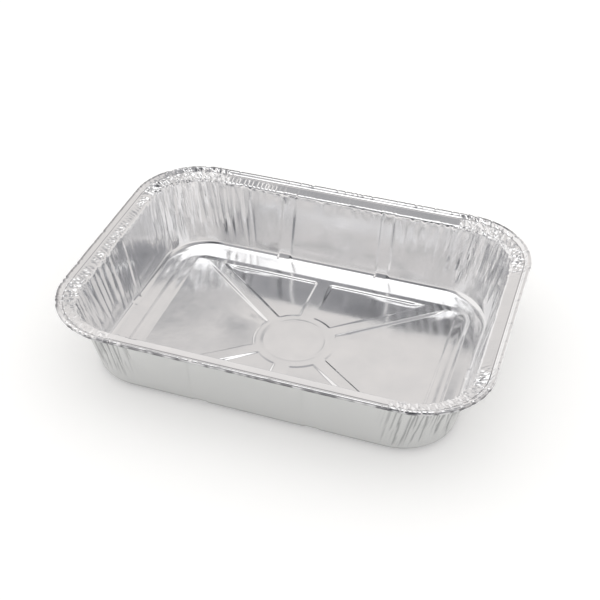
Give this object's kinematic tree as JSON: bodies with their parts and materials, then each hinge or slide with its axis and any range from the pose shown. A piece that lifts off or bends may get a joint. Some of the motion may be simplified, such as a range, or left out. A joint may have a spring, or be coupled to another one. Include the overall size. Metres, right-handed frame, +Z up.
{
  "type": "foil drip pan",
  "caption": "Rectangular aluminium foil drip pan with a ribbed floor, folded corners and a rolled rim.",
  "frame": {"origin": "on the table under the middle of the pan", "axes": "+X along the long side, to the right; +Y towards the back; +Z up, out of the open top"},
  "size_m": [0.324, 0.244, 0.063],
  "materials": {
    "foil": "polished"
  },
  "bodies": {
    "root": {"pan": "foil"}
  },
  "joints": []
}
